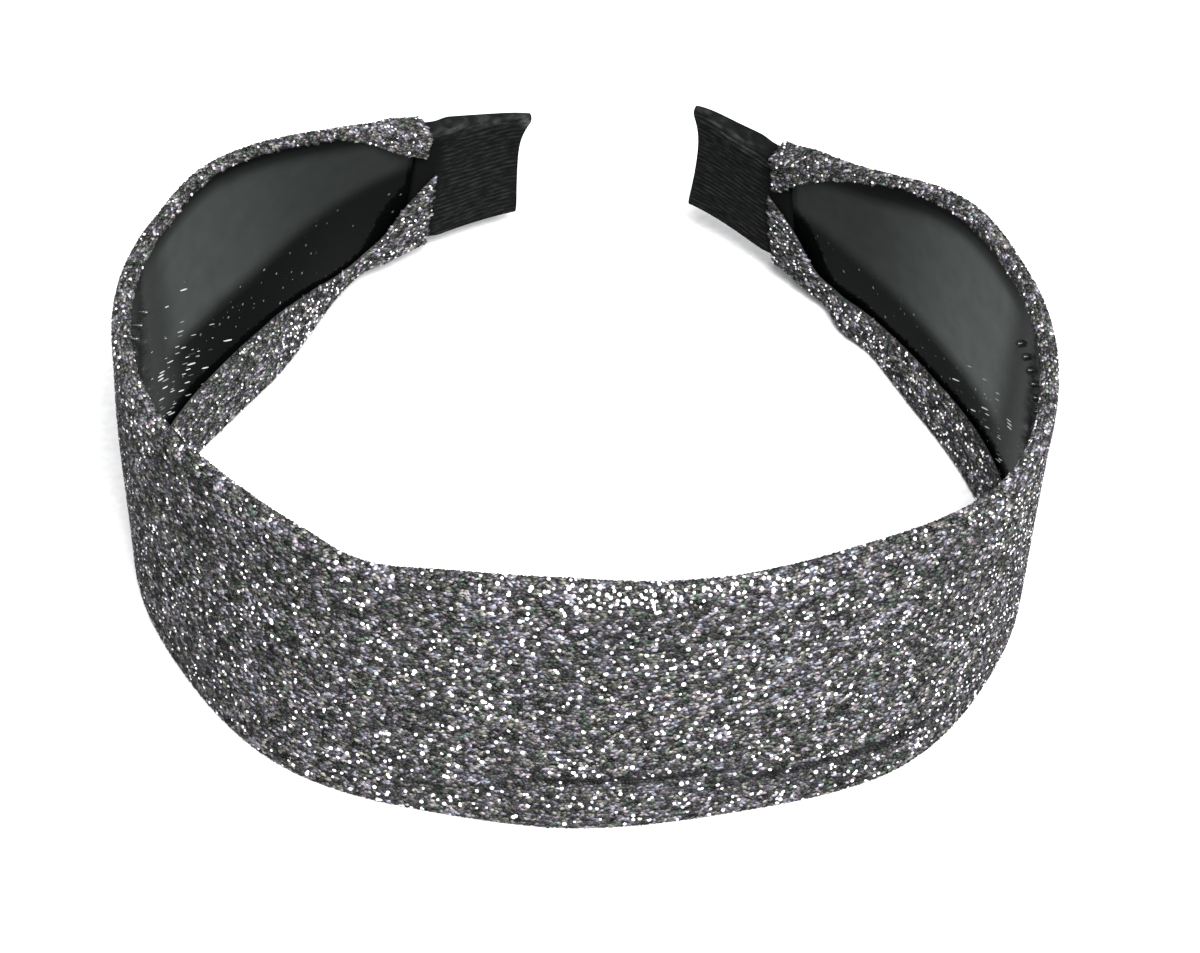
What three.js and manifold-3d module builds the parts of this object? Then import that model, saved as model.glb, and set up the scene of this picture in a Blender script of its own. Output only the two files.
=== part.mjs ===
// A wide glitter headband lying on its edge, in millimetres, +Z up, the front facing -Y.
// A springy plastic strip carries a glitter knit cover that is folded over both of its edges.
// Black ribbon sleeves close the two tips, and the ends of the cover lap over their mouths.
import * as THREE from 'three';
import { mergeVertices } from 'three/addons/utils/BufferGeometryUtils.js';
import Module from 'manifold-3d';

// Driving dimensions of the layers
const CORE_THICK = 1.1;
const CORE_CHAMFER = 0.35;
const CLOTH = 0.6;
const RIBBON = 1.0;
const GAP = 0.15;
const ROLL = CORE_THICK / 2 + GAP + CLOTH;
const CORE_TIP_HALF = 0.45;
const POCKET_TIP_HALF = 0.6;
const RIBBON_END_HALF = 0.95;
const REST_SINK = 0.15;

// Distances along the band from the front centre
const TIP = 186;
const COVER_END = 171;
const RIBBON_MOUTH = 167;
const CORE_END = 181;
const POCKET_END = 181.6;
const LAP_START = 158;
const LAP_FULL = 164;
const TAPER_START = 172;
const FLARE_START = 174;
const FLARE_FULL = 185;

// Sections stand wide apart on the arms and close together near the tips. Every layer shares them.
const ARM_END = 161;
const ARM_STEP = 6;
const TIP_STEP = 2;

// The run of the band from the front centre to a tip, seen from above.
// along: distance from the front centre. width: across the band, cloth to cloth.
// turn: heading of the band in degrees, 0 straight across the forehead. Each stretch is an arc.
// The distances are measured on a line just inside the strip's middle surface.
const RUN_INSET = 0.85;
const RUN = [
  { along: 0, width: 49.2, turnRight: 0, turnLeft: 0 },
  { along: 22, width: 48.7, turnRight: 16.5, turnLeft: 12 },
  { along: 45, width: 47.6, turnRight: 29, turnLeft: 42 },
  { along: 67, width: 46.3, turnRight: 61, turnLeft: 57 },
  { along: 89, width: 44.9, turnRight: 84, turnLeft: 82 },
  { along: 112, width: 44, turnRight: 108, turnLeft: 110 },
  { along: 132, width: 42.5, turnRight: 120, turnLeft: 123 },
  { along: 156, width: 34, turnRight: 132, turnLeft: 132 },
  { along: 186, width: 24.3, turnRight: 159, turnLeft: 158 },
];

// How the band stands on the table.
// lean: degrees that the top edge leans outwards. low: height of the lower edge off the table.
const STANCE = [
  { along: 0, leanRight: 1.5, leanLeft: 1.5, lowRight: 0, lowLeft: 0 },
  { along: 22, leanRight: 3, leanLeft: 2, lowRight: 0, lowLeft: 0 },
  { along: 45, leanRight: 0, leanLeft: -1.5, lowRight: 0, lowLeft: 0 },
  { along: 67, leanRight: 2.5, leanLeft: 0, lowRight: 0, lowLeft: 0 },
  { along: 89, leanRight: 0, leanLeft: 0, lowRight: 0, lowLeft: 0 },
  { along: 112, leanRight: 1, leanLeft: 3, lowRight: 0, lowLeft: 0 },
  { along: 132, leanRight: 2, leanLeft: 7, lowRight: 0, lowLeft: 0 },
  { along: 156, leanRight: -7, leanLeft: -7, lowRight: 1, lowLeft: 3 },
  { along: 186, leanRight: -16, leanLeft: -16, lowRight: 8, lowLeft: 4.3 },
];

// How far the cover is folded in over each edge, on the inner face of each arm.
const HEMS = [
  { along: 0, lowRight: 8, lowLeft: 8, highRight: 1.6, highLeft: 1.6 },
  { along: 110, lowRight: 10, lowLeft: 9.7, highRight: 2.2, highLeft: 1.6 },
  { along: 134, lowRight: 8.8, lowLeft: 10.2, highRight: 2.5, highLeft: 1.5 },
  { along: 146, lowRight: 7.6, lowLeft: 7.0, highRight: 1.5, highLeft: 1.5 },
  { along: 152, lowRight: 6.8, lowLeft: 4.8, highRight: 2.3, highLeft: 1.6 },
  { along: 157, lowRight: 5.6, lowLeft: 4.4, highRight: 3.4, highLeft: 3.2 },
  { along: 161, lowRight: 6.0, lowLeft: 6.4, highRight: 4.4, highLeft: 4.6 },
  { along: 165, lowRight: 11.4, lowLeft: 11.6, highRight: 5.5, highLeft: 5.6 },
  { along: 171, lowRight: 17.0, lowLeft: 17.8, highRight: 9.2, highLeft: 7.2 },
];

// Folds of the cover's outer face. along and height: the middle of the fold, left of centre negative.
// length and breadth: its reach each way along and across the band. rise: outwards, a crease negative.
// Slack lifts the cloth off the strip, and a crease draws it back, never into the strip.
const FOLDS = [
  { along: 26, height: 8, length: 44, breadth: 7, rise: 0.5 },
  { along: 8, height: 10.2, length: 13, breadth: 1.3, rise: -0.9 },
  { along: 42, height: 7.4, length: 17, breadth: 1.3, rise: -0.9 },
  { along: -80, height: 27, length: 20, breadth: 14, rise: 0.7 },
  { along: -80, height: 27, length: 4, breadth: 9, rise: -0.7 },
  { along: 0, height: 43, length: 60, breadth: 4, rise: 0.4 },
];

// Slack of the cover where the lower hem puffs in towards the head.
const PUFFS = [
  { along: -142, reach: 12, puff: 1.2 },
  { along: -116, reach: 14, puff: 1.9 },
  { along: 110, reach: 20, puff: 1.0 },
  { along: 140, reach: 12, puff: 0.8 },
  { along: 154, reach: 5, puff: 1.8 },
];
const HEM_END_PUFF = 0.2;

// Shallow dips of the band's top edge: left of the front, and where the ribbon draws it in.
const TOP_DIPS = [
  { along: -167, reach: 7, rise: -0.8 },
  { along: -30, reach: 3.5, rise: -0.5 },
  { along: -25, reach: 7, rise: -1.4 },
  { along: 169, reach: 8, rise: -2.0 },
];

// The pressed end of each ribbon sleeve: cut aslant, with its top corner drawn out into a point.
// back: how far the cut stops short of the tip. slant: how much further its lower corner reaches.
// point: how far the top corner is drawn out. topFlare, lowFlare: how far the corners spread up and down.
const FISHTAILS = {
  left: { back: 0, slant: 1.8, point: 2.3, topFlare: 1.2, lowFlare: 0.4 },
  right: { back: 2.0, slant: 3.6, point: 1.5, topFlare: 2.3, lowFlare: -0.1 },
};
const SLANT_POWER = 1.5;
const POINT_POWER = 4;
const CORNER_ROUND = 0.4;
const CORNER_POWER = 12;
const FLARE_POWER = 1.5;

// Grip teeth moulded in a row on the inner face, below the top edge
const TOOTH_PITCH = 3.1;
const TOOTH_LENGTH = 1.0;
const TOOTH_WIDTH = 1.0;
const TOOTH_RISE = 0.8;
const TOOTH_ROOT = 0.35;
const TOOTH_FOOT_SCALE = 1.2;
const TOOTH_CROWN_SCALE = 0.6;
const TOOTH_DROP = 10;
const TEETH_FROM = -103.2;
const TEETH_TO = 107.6;

// Resolution of the faceted sections
const ROLL_SEGMENTS = 5;
const FACE_ROWS = [0, 0.06, 0.1, 0.14, 0.18, 0.23, 0.36, 0.52, 0.68, 0.85, 1];
const CORE_FACE_SEGMENTS = 5;
const SLEEVE_FACE_SEGMENTS = 10;
const SLEEVE_ROLL_SEGMENTS = 4;
const TOOTH_SIDES = 4;

const sideOf = (along) => (along < 0 ? 'Left' : 'Right');
const smooth = (x, from, to) => THREE.MathUtils.smoothstep(x, from, to);
const bell = (x, reach) => Math.exp(-((x / reach) ** 2));

// A smooth curve through one column of a table: cubic pieces whose slopes come from the neighbours.
function column(table, name, along) {
  const x = Math.abs(along);
  const last = table.length - 2;
  let i = 0;
  while (i < last && x >= table[i + 1].along) i += 1;
  const slope = (k) => {
    const before = table[Math.max(k - 1, 0)];
    const after = table[Math.min(k + 1, table.length - 1)];
    return (after[name] - before[name]) / (after.along - before.along);
  };
  const span = table[i + 1].along - table[i].along;
  const t = (x - table[i].along) / span;
  const start = (2 * t ** 3 - 3 * t ** 2 + 1) * table[i][name];
  const leave = (t ** 3 - 2 * t ** 2 + t) * span * slope(i);
  const end = (3 * t ** 2 - 2 * t ** 3) * table[i + 1][name];
  const arrive = (t ** 3 - t ** 2) * span * slope(i + 1);
  return start + leave + end + arrive;
}

// The middle line of the band seen from above: tangent arcs, one for each stretch of RUN.
function plan(along) {
  const name = `turn${sideOf(along)}`;
  const mirror = along < 0 ? -1 : 1;
  const x = Math.abs(along);
  const point = new THREE.Vector2(0, 0);
  let heading = 0;
  for (let i = 0; i + 1 < RUN.length && x > RUN[i].along; i += 1) {
    const span = RUN[i + 1].along - RUN[i].along;
    const turn = THREE.MathUtils.degToRad(RUN[i + 1][name] - RUN[i][name]);
    const last = i + 2 === RUN.length;
    const run = last ? x - RUN[i].along : Math.min(x - RUN[i].along, span);
    const next = heading + (turn * run) / span;
    const radius = span / turn;
    point.x += radius * (Math.sin(next) - Math.sin(heading));
    point.y += radius * (Math.cos(heading) - Math.cos(next));
    heading = next;
  }
  point.x *= mirror;
  const outward = new THREE.Vector2(mirror * Math.sin(heading), -Math.cos(heading));
  return { point, outward };
}

const widthAt = (along) => column(RUN, 'width', along);
const dipAt = (along) => TOP_DIPS.reduce((sum, d) => sum + d.rise * bell(along - d.along, d.reach), 0);
const topAt = (along) => widthAt(along) + dipAt(along);

// A point of the band: out from its middle surface, up its section from the lower edge.
function place(along, out, up) {
  const side = sideOf(along);
  const { point, outward } = plan(along);
  const lean = THREE.MathUtils.degToRad(column(STANCE, `lean${side}`, along));
  const low = Math.max(column(STANCE, `low${side}`, along), 0) - REST_SINK;
  const shift = Math.sin(lean) * (up - widthAt(along) / 2) + Math.cos(lean) * (out + RUN_INSET);
  const z = low + Math.cos(lean) * up - Math.sin(lean) * out;
  return new THREE.Vector3(point.x + outward.x * shift, point.y + outward.y * shift, z);
}

// Stations from one place on the band to another, about a step apart.
function stations(from, to, step) {
  const count = Math.ceil((to - from) / step);
  return Array.from({ length: count + 1 }, (_, i) => from + ((to - from) * i) / count);
}

// The shared stations of the band, as far as an end that is the same on both arms.
function bandStations(end) {
  const tip = stations(ARM_END, end, TIP_STEP).slice(1);
  const mirrored = tip.map((along) => -along).reverse();
  return [...mirrored, ...stations(-ARM_END, ARM_END, ARM_STEP), ...tip];
}

// A geometry from triangles of points, with shared corners merged and its faces pointing out.
function closedGeometry(triangles) {
  const volume = triangles.reduce((sum, [a, b, c]) => sum + a.dot(b.clone().cross(c)), 0);
  const points = triangles.flatMap((t) => (volume < 0 ? [t[0], t[2], t[1]] : t));
  const geometry = new THREE.BufferGeometry().setFromPoints(points);
  return mergeVertices(geometry, 1e-5);
}

function quad(a, b, c, d) {
  return [[a, b, c], [a, c, d]];
}

// A body lofted through closed rings, with a fan over its first and last ring.
function loft(rings) {
  const triangles = [];
  for (let i = 0; i + 1 < rings.length; i += 1) {
    for (let k = 0; k < rings[i].length; k += 1) {
      const next = (k + 1) % rings[i].length;
      triangles.push(...quad(rings[i][k], rings[i][next], rings[i + 1][next], rings[i + 1][k]));
    }
  }
  const fan = (ring, flip) => {
    const middle = ring.reduce((sum, p) => sum.add(p), new THREE.Vector3()).divideScalar(ring.length);
    ring.forEach((p, k) => {
      const next = ring[(k + 1) % ring.length];
      triangles.push(flip ? [middle, next, p] : [middle, p, next]);
    });
  };
  fan(rings[0], true);
  fan(rings[rings.length - 1], false);
  return closedGeometry(triangles);
}

// A wall between two grids of points, with its four borders closed.
function wall(outer, inner) {
  const triangles = [];
  const rows = outer.length - 1;
  const cols = outer[0].length - 1;
  for (let i = 0; i < rows; i += 1) {
    for (let k = 0; k < cols; k += 1) {
      triangles.push(...quad(outer[i][k], outer[i][k + 1], outer[i + 1][k + 1], outer[i + 1][k]));
      triangles.push(...quad(inner[i][k], inner[i + 1][k], inner[i + 1][k + 1], inner[i][k + 1]));
    }
    triangles.push(...quad(outer[i][0], outer[i + 1][0], inner[i + 1][0], inner[i][0]));
    triangles.push(...quad(outer[i][cols], inner[i][cols], inner[i + 1][cols], outer[i + 1][cols]));
  }
  for (let k = 0; k < cols; k += 1) {
    triangles.push(...quad(outer[0][k], inner[0][k], inner[0][k + 1], outer[0][k + 1]));
    triangles.push(...quad(outer[rows][k], outer[rows][k + 1], inner[rows][k + 1], inner[rows][k]));
  }
  return closedGeometry(triangles);
}

// How much of the ribbon sleeve lies under the cover at a place: 0 clear of it, 1 where they lap.
const lap = (along) => smooth(Math.abs(along), LAP_START, LAP_FULL);

// Plastic strip: a chamfered section that thins into the sleeves at both tips
function coreRing(along) {
  const x = Math.abs(along);
  const half = THREE.MathUtils.lerp(CORE_THICK / 2, CORE_TIP_HALF, smooth(x, TAPER_START, CORE_END));
  const inset = CLOTH + GAP + lap(along) * (RIBBON + GAP);
  const low = inset;
  const high = topAt(along) - inset;
  const c = CORE_CHAMFER;
  const rows = Array.from({ length: CORE_FACE_SEGMENTS + 1 }, (_, k) => k / CORE_FACE_SEGMENTS);
  const heights = rows.map((row) => THREE.MathUtils.lerp(low + c, high - c, row));
  const section = [
    [-half + c, low], [half - c, low],
    ...heights.map((up) => [half, up]),
    [half - c, high], [-half + c, high],
    ...heights.reverse().map((up) => [-half, up]),
  ];
  return section.map(([out, up]) => place(along, out, up));
}

// One grip tooth: a low blunt peg on the inner face, its root sunk into the strip
function tooth(along) {
  const up = widthAt(along) - TOOTH_DROP;
  const face = CORE_THICK / 2;
  const oval = (scale, out) => Array.from({ length: TOOTH_SIDES }, (_, k) => {
    const angle = ((k + 0.5) * 2 * Math.PI) / TOOTH_SIDES;
    const dx = (Math.cos(angle) * scale * TOOTH_WIDTH) / 2;
    const dy = (Math.sin(angle) * scale * TOOTH_LENGTH) / 2;
    return place(along + dx, out, up + dy);
  });
  return loft([oval(TOOTH_FOOT_SCALE, TOOTH_ROOT - face), oval(TOOTH_CROWN_SCALE, -face - TOOTH_RISE)]);
}

const wasm = await Module();
wasm.setup();

function toSolid(geometry) {
  const vertProperties = new Float32Array(geometry.attributes.position.array);
  const triVerts = new Uint32Array(geometry.index.array);
  return new wasm.Manifold(new wasm.Mesh({ numProp: 3, vertProperties, triVerts }));
}

function toGeometry(solid) {
  const mesh = solid.getMesh();
  const geometry = new THREE.BufferGeometry();
  geometry.setAttribute('position', new THREE.BufferAttribute(mesh.vertProperties, 3));
  geometry.setIndex(new THREE.BufferAttribute(mesh.triVerts, 1));
  return geometry;
}

function coreGeometry() {
  const strip = toSolid(loft(bandStations(CORE_END).map(coreRing)));
  const teeth = stations(TEETH_FROM, TEETH_TO, TOOTH_PITCH).map((along) => toSolid(tooth(along)));
  return toGeometry(teeth.reduce((body, one) => body.add(one), strip));
}

// Glitter cover: the path of one face of its wall, from the lower hem round to the upper hem.
// layer is 0 for the face on the strip and 1 for the face that shows.
function coverPath(along, layer) {
  const spread = lap(along) * (RIBBON + GAP);
  const radius = CORE_THICK / 2 + GAP + layer * CLOTH;
  const half = radius + spread;
  const top = topAt(along);
  const puff = PUFFS.reduce((sum, p) => sum + p.puff * bell(along - p.along, p.reach), 0);
  const hemLow = column(HEMS, `low${sideOf(along)}`, along);
  const hemHigh = column(HEMS, `high${sideOf(along)}`, along);
  const path = [];
  const roll = (middle, from, to, push) => {
    for (let k = 1; k < ROLL_SEGMENTS; k += 1) {
      const angle = THREE.MathUtils.degToRad(THREE.MathUtils.lerp(from, to, k / ROLL_SEGMENTS));
      const out = half * Math.cos(angle);
      const slack = Math.cos(angle) < 0 ? push * -Math.cos(angle) : 0;
      path.push([out - slack, middle + radius * Math.sin(angle)]);
    }
  };
  path.push([-half - HEM_END_PUFF * puff, hemLow]);
  path.push([-half - puff, (hemLow + ROLL) / 2]);
  path.push([-half - puff, ROLL]);
  roll(ROLL, 180, 360, puff);
  FACE_ROWS.forEach((row) => {
    const up = THREE.MathUtils.lerp(ROLL, top - ROLL, row);
    const fold = (f) => f.rise * bell(along - f.along, f.length) * bell(up - f.height, f.breadth);
    path.push([half + Math.max(FOLDS.reduce((sum, f) => sum + fold(f), 0), 0), up]);
  });
  roll(top - ROLL, 0, 180, 0);
  path.push([-half, top - ROLL]);
  path.push([-half, top - hemHigh]);
  return path.map(([out, up]) => {
    const point = place(along, out, up);
    point.z = Math.max(point.z, (1 - layer) * (CLOTH - REST_SINK));
    return point;
  });
}

function coverGeometry() {
  const along = bandStations(COVER_END);
  return wall(along.map((a) => coverPath(a, 1)), along.map((a) => coverPath(a, 0)));
}

// Ribbon sleeve: a closed flat loop round the strip, with straight faces and round edges.
// flare is 0 for the plain loop and 1 where the end is drawn out into its fishtail.
function sleeveRing(sign, station, half, inset, flare) {
  const tail = FISHTAILS[sign < 0 ? 'left' : 'right'];
  const low = inset - flare * tail.lowFlare;
  const high = topAt(sign * station) - inset + flare ** FLARE_POWER * tail.topFlare;
  const section = [];
  const faceRun = (out, from, to) => {
    for (let k = 0; k < SLEEVE_FACE_SEGMENTS; k += 1) {
      section.push([out, THREE.MathUtils.lerp(from, to, k / SLEEVE_FACE_SEGMENTS)]);
    }
  };
  const rollRun = (middle, from) => {
    for (let k = 0; k < SLEEVE_ROLL_SEGMENTS; k += 1) {
      const angle = THREE.MathUtils.degToRad(from + (180 * k) / SLEEVE_ROLL_SEGMENTS);
      section.push([half * Math.cos(angle), middle + half * Math.sin(angle)]);
    }
  };
  faceRun(-half, high - half, low + half);
  rollRun(low + half, 180);
  faceRun(half, low + half, high - half);
  rollRun(high - half, 0);
  return section.map(([out, up]) => {
    const across = THREE.MathUtils.clamp((up - low) / (high - low), 0, 1) * 2 - 1;
    const slant = tail.slant * ((1 - across) / 2) ** SLANT_POWER;
    const point = tail.point * Math.max(across, 0) ** POINT_POWER;
    const reach = slant + point - CORNER_ROUND * across ** CORNER_POWER - tail.back;
    return place(sign * (station + reach * flare), out, up);
  });
}

function sleeveGeometry(sign) {
  const lapHalf = CORE_THICK / 2 + GAP + RIBBON;
  const outside = (station) => {
    const half = THREE.MathUtils.lerp(lapHalf, RIBBON_END_HALF, smooth(station, FLARE_START, FLARE_FULL));
    const inset = (CLOTH + GAP) * (1 - smooth(station, COVER_END + GAP, FLARE_START));
    return sleeveRing(sign, station, half, inset, smooth(station, FLARE_START, TIP));
  };
  const inside = (station) => {
    const narrowed = smooth(station, TAPER_START, POCKET_END);
    const half = THREE.MathUtils.lerp(lapHalf - RIBBON, POCKET_TIP_HALF, narrowed);
    return sleeveRing(sign, station, half, CLOTH + GAP + RIBBON, 0);
  };
  const pocket = [...stations(RIBBON_MOUTH, CORE_END, TIP_STEP), POCKET_END].reverse();
  const skin = [...stations(RIBBON_MOUTH, FLARE_FULL, TIP_STEP), TIP];
  return loft([...pocket.map(inside), ...skin.map(outside)]);
}

// Finishes
const blackPlastic = new THREE.MeshStandardMaterial({ color: '#23272a', roughness: 0.25, metalness: 0 });
const glitterKnit = new THREE.MeshStandardMaterial({ color: '#5c5d60', roughness: 0.45, metalness: 0.5 });
const blackRibbon = new THREE.MeshStandardMaterial({ color: '#1b1d1e', roughness: 0.85, metalness: 0 });

function part(name, geometry, material) {
  const mesh = new THREE.Mesh(geometry, material);
  mesh.name = name;
  return mesh;
}

// The band stands on the table, centred over the origin.
const band = new THREE.Group();
band.add(
  part('band_core', coreGeometry(), blackPlastic),
  part('glitter_cover', coverGeometry(), glitterKnit),
  part('tip_wrap_left', sleeveGeometry(-1), blackRibbon),
  part('tip_wrap_right', sleeveGeometry(1), blackRibbon),
);
const box = new THREE.Box3().setFromObject(band, true);
band.position.set(-(box.min.x + box.max.x) / 2, -(box.min.y + box.max.y) / 2, -box.min.z);

const headband = new THREE.Group();
headband.add(band);
export default headband;
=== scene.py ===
# %% [markdown]
# # A glitter headband, dressed for its portrait
# The headband is a springy plastic strip in a knit cover that is folded over both of its edges, with a
# ribbon sleeve on each tip. Its solids come in as a fixed frame, in metres. They could be coloured as they
# are, but a solid has no stitches and no ribs. So every surface that shows is made again here, finer, in
# the same place.

# %% Load the frame
import bpy
import numpy as np
from mathutils import Matrix


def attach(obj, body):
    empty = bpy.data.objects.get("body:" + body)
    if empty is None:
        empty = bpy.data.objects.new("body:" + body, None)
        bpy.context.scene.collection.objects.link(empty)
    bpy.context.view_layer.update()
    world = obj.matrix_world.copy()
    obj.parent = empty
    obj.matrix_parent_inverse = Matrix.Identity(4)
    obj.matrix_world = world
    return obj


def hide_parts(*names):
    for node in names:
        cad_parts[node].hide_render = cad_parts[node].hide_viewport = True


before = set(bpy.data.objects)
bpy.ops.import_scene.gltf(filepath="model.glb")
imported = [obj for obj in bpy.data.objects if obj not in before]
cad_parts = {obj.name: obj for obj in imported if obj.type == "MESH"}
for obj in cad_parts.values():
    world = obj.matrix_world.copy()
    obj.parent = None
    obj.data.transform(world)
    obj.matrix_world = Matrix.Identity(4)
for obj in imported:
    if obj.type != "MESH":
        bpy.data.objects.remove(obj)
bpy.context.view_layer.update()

MM = 0.001
print("nodes:", sorted(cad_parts))

# %% [markdown]
# ## The camera
# The band lies on its lower edge and is seen from the front, well above it. The camera could be turned by
# eye, but a distance, two angles and a roll keep it easy to check: it looks at a point inside the band and
# leans a little, so the right side of the picture hangs lower.

# %% Camera
PICTURE_WIDE = 1200
FOCAL_PIXELS = 3038
SENSOR_WIDE = 36
NEAREST = 10 * MM
LOOK_AT = np.array([3.19, -15.465, 20.05]) * MM
LOOK_FROM = 442.7 * MM
LOOK_SIDE, LOOK_DOWN, LOOK_ROLL = np.radians([-0.344, 43.255, 2.581])


def aim(thing, target, distance, side, down, roll):
    """Point a camera or lamp: along the bearing side and the dip down, turned by roll about that line."""
    ahead = np.array([np.sin(side) * np.cos(down), np.cos(side) * np.cos(down), -np.sin(down)])
    level = np.array([np.cos(side), -np.sin(side), 0])
    above = np.cross(level, ahead)
    right = np.cos(roll) * level + np.sin(roll) * above
    up = np.cos(roll) * above - np.sin(roll) * level
    turn = np.eye(4)
    turn[:3, :3] = np.column_stack([right, up, -ahead])
    turn[:3, 3] = target - ahead * distance
    thing.matrix_world = Matrix(turn.tolist())


camera = bpy.data.objects.new("camera", bpy.data.cameras.new("camera"))
camera.data.sensor_width = SENSOR_WIDE
camera.data.lens = FOCAL_PIXELS / PICTURE_WIDE * SENSOR_WIDE
camera.data.clip_start = NEAREST
bpy.context.collection.objects.link(camera)
bpy.context.scene.camera = camera
aim(camera, LOOK_AT, LOOK_FROM, LOOK_SIDE, LOOK_DOWN, LOOK_ROLL)
print("camera at", [round(x, 4) for x in camera.location])

# %% [markdown]
# ## The run of the band
# Everything on the headband follows one curved strip, so every piece is drawn in the strip's own measures:
# how far along it from the front centre (left is negative), how far out from its middle surface, and how
# far up from its lower edge. Two short tables hold the sizes in millimetres and degrees. The solids use
# the same ones, so what is drawn here lies where they are.

# %% Band measures
RUN = {
    "along": [0, 22, 45, 67, 89, 112, 132, 156, 186],
    "width": [49.2, 48.7, 47.6, 46.3, 44.9, 44, 42.5, 34, 24.3],
    "turn_right": [0, 16.5, 29, 61, 84, 108, 120, 132, 159],
    "turn_left": [0, 12, 42, 57, 82, 110, 123, 132, 158],
    "lean_right": [1.5, 3, 0, 2.5, 0, 1, 2, -7, -16],
    "lean_left": [1.5, 2, -1.5, 0, 0, 3, 7, -7, -16],
    "low_right": [0, 0, 0, 0, 0, 0, 0, 1, 8],
    "low_left": [0, 0, 0, 0, 0, 0, 0, 3, 4.3],
}
TOP_DIPS = {"along": [-167, -30, -25, 169], "reach": [7, 3.5, 7, 8], "rise": [-0.8, -0.5, -1.4, -2.0]}
RUN_INSET = 0.85
FRONT_CENTRE = np.array([-0.116, -64.32])
REST_SINK = 0.15
print("each arm is", RUN["along"][-1], "mm long, the front", RUN["width"][0], "mm wide")

# %% [markdown]
# ## Smooth curves
# A springy strip bends without corners, so the values between the knots of a table have to flow. A drawn
# spline would be hard to measure along. Cubic pieces with shared slopes are smooth, and exact at every knot.
# Bumps and steps with soft ends then add dips and folds to them.

# %% Smooth curves
def bell(x, reach):
    """A smooth bump: 1 in the middle, falling as e to the minus square of x over its reach."""
    return np.exp(-((x / reach) ** 2))


def step_up(x, start, end):
    """0 before start, 1 after end, and the smooth cubic 3t squared less 2t cubed between."""
    t = np.clip((x - start) / (end - start), 0, 1)
    return t * t * (3 - 2 * t)


def column(table, name, along):
    """Cubic pieces through one column of a table, each knot's slope taken from its two neighbours."""
    x, y = np.array(table["along"], float), np.array(table[name], float)
    k = np.arange(len(x))
    before, after = np.maximum(k - 1, 0), np.minimum(k + 1, len(x) - 1)
    slope = (y[after] - y[before]) / (x[after] - x[before])
    i = np.clip(np.searchsorted(x, np.abs(along), side="right") - 1, 0, len(x) - 2)
    span = x[i + 1] - x[i]
    t = (np.abs(along) - x[i]) / span
    start = (2 * t**3 - 3 * t**2 + 1) * y[i] + (t**3 - 2 * t**2 + t) * span * slope[i]
    return start + (3 * t**2 - 2 * t**3) * y[i + 1] + (t**3 - t**2) * span * slope[i + 1]


def by_side(along, left, right):
    """One value where a place lies on the left arm, the other where it lies on the right."""
    return np.where(along < 0, left, right)


def sided(table, name, along):
    """A column that has one set of values for the right arm and one for the left."""
    return by_side(along, column(table, name + "_left", along), column(table, name + "_right", along))


print("width 100 mm from the front:", round(float(column(RUN, "width", 100.0)), 2), "mm")

# %% [markdown]
# ## A place on the band
# Seen from above, the bent strip is a row of arcs that run into each other, and its wall leans a little in or
# out. A curve object could carry a profile along it, but could not tell where a single stitch lies. One
# function that turns the band's three measures into a point serves every piece.

# %% Places on the band
def middle_line(along, side):
    """Point and heading of one arm seen from above: tangent arcs, each from one knot to the next."""
    x, turn = np.array(RUN["along"], float), np.radians(RUN["turn_" + side])
    radius = np.diff(x) / np.diff(turn)
    steps = radius * (np.sin(turn[1:]) - np.sin(turn[:-1])), radius * (np.cos(turn[:-1]) - np.cos(turn[1:]))
    knots = [np.concatenate([[0], np.cumsum(s)]) for s in steps]
    i = np.clip(np.searchsorted(x, along, side="right") - 1, 0, len(x) - 2)
    heading = turn[i] + (along - x[i]) / radius[i]
    across = knots[0][i] + radius[i] * (np.sin(heading) - np.sin(turn[i]))
    back = knots[1][i] + radius[i] * (np.cos(turn[i]) - np.cos(heading))
    return across, back, heading


def width_at(along):
    """Width of the band, from the table of its run."""
    return column(RUN, "width", along)


def top_at(along):
    """Height of the top edge above the lower one: the width, with the dips near the front and the tips."""
    dips = [rise * bell(along - at, reach) for at, reach, rise in zip(*TOP_DIPS.values())]
    return width_at(along) + sum(dips)


def place(along, out, up):
    """Point of the band in metres: the arm's place seen from above, leaning out, standing on the table."""
    along, out, up = np.broadcast_arrays(*(np.asarray(v, float) for v in (along, out, up)))
    mirror = np.where(along < 0, -1.0, 1.0)
    arms = [middle_line(np.abs(along), side) for side in ("right", "left")]
    across, back, heading = (np.where(along < 0, left, right) for right, left in zip(*arms))
    lean = np.radians(sided(RUN, "lean", along))
    shift = np.sin(lean) * (up - width_at(along) / 2) + np.cos(lean) * (out + RUN_INSET)
    x = mirror * (across + np.sin(heading) * shift) + FRONT_CENTRE[0]
    y = back - np.cos(heading) * shift + FRONT_CENTRE[1]
    low = np.maximum(sided(RUN, "low", along), 0) - REST_SINK
    z = low + np.cos(lean) * up - np.sin(lean) * out
    return np.stack([x, y, z], -1) * MM


print("front edge at", place(0.0, 0.0, 0.0).round(4))

# %% [markdown]
# ## Surfaces into meshes
# Each piece is a grid of points, worked out as whole arrays. Its faces could be added one by one, which is
# slow. Here a ring that closes on itself is carried along the band, all its faces are numbered at once, and
# its two ends are shut, so that every piece is a closed body.

# %% Mesh helpers
def grid_faces(rows, cols):
    """Four-cornered faces over a grid of points, row by row, with the columns closed into a ring."""
    i, k = np.meshgrid(np.arange(rows - 1), np.arange(cols), indexing="ij")
    nxt = (k + 1) % cols
    corners = [i * cols + k, i * cols + nxt, (i + 1) * cols + nxt, (i + 1) * cols + k]
    return np.stack(corners, -1).reshape(-1, 4)


def end_faces(cols, first):
    """Faces that shut a flat ring: its points are joined in pairs, the first with the last, and so on."""
    k = np.arange(cols // 2 - 1)
    return first + np.stack([k, cols - 1 - k, cols - 2 - k, k + 1], -1)


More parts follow.
